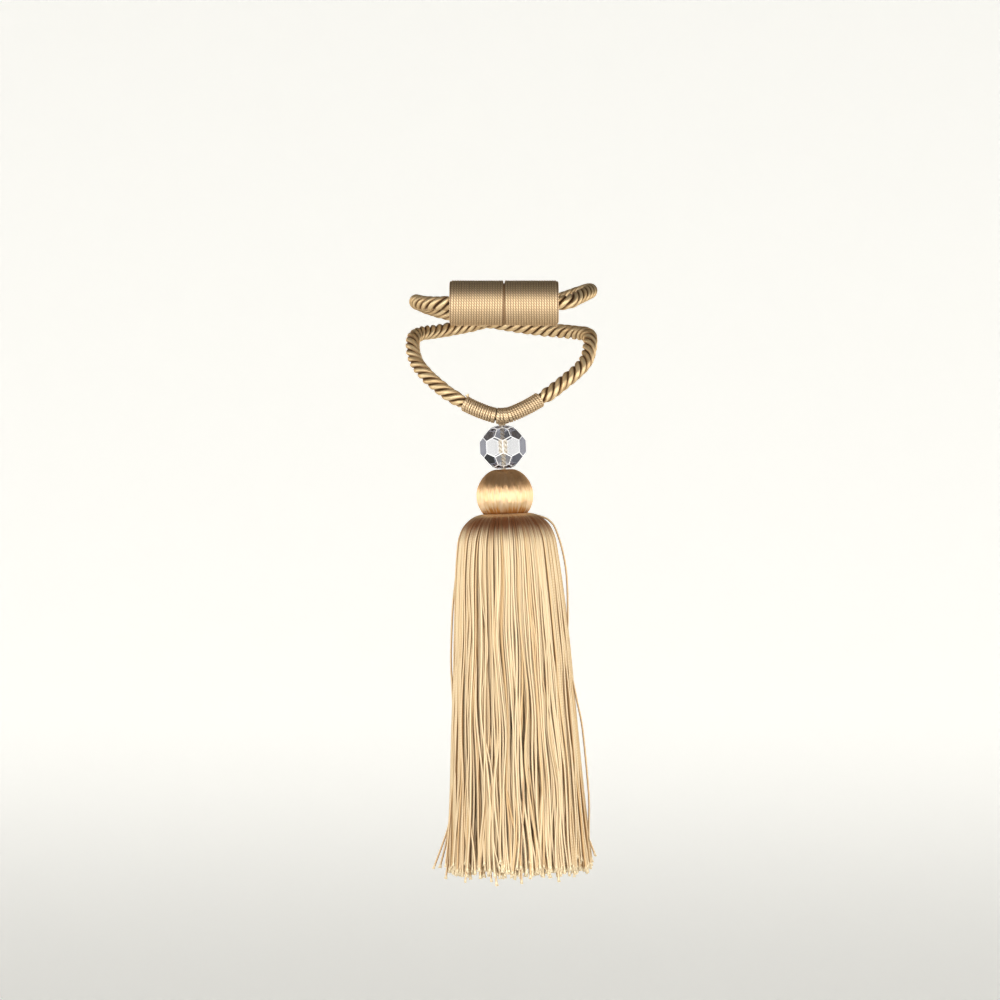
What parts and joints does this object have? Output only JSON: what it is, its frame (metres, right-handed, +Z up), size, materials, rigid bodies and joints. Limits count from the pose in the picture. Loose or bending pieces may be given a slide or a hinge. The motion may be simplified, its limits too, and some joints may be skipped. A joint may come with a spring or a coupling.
{
  "type": "magnetic curtain tieback with bead and tassel",
  "caption": "Twisted silk rope tieback closed by two thread-wound magnet barrels, with a faceted clear bead, a floss-covered ball and a long tassel.",
  "frame": {"origin": "middle of the space that the upper turn of the rope closes round, level with the axis of the magnet barrels; the gathered curtain passes through it along Z", "axes": "+Z up, +X to the right along the barrels' axis, +Y from the barrels to the back of the loop; the tassel hangs in front"},
  "size_m": [0.1016, 0.1146, 0.3102],
  "materials": {
    "rope_silk": "silky twisted rayon, champagne gold",
    "winding_thread": "fine plied thread wound side by side, tan gold",
    "ball_floss": "untwisted satin floss laid pole to pole",
    "skirt_yarn": "smooth twisted rayon yarn, cut ends",
    "crystal": "clear, faceted and polished"
  },
  "bodies": {
    "root": {"barrel_left": "winding_thread", "barrel_right": "winding_thread", "rope": "rope_silk", "binding_left": "winding_thread", "binding_right": "winding_thread", "hanging_cord": "winding_thread", "bead": "crystal", "head_ball": "ball_floss", "skirt": "skirt_yarn"}
  },
  "joints": []
}
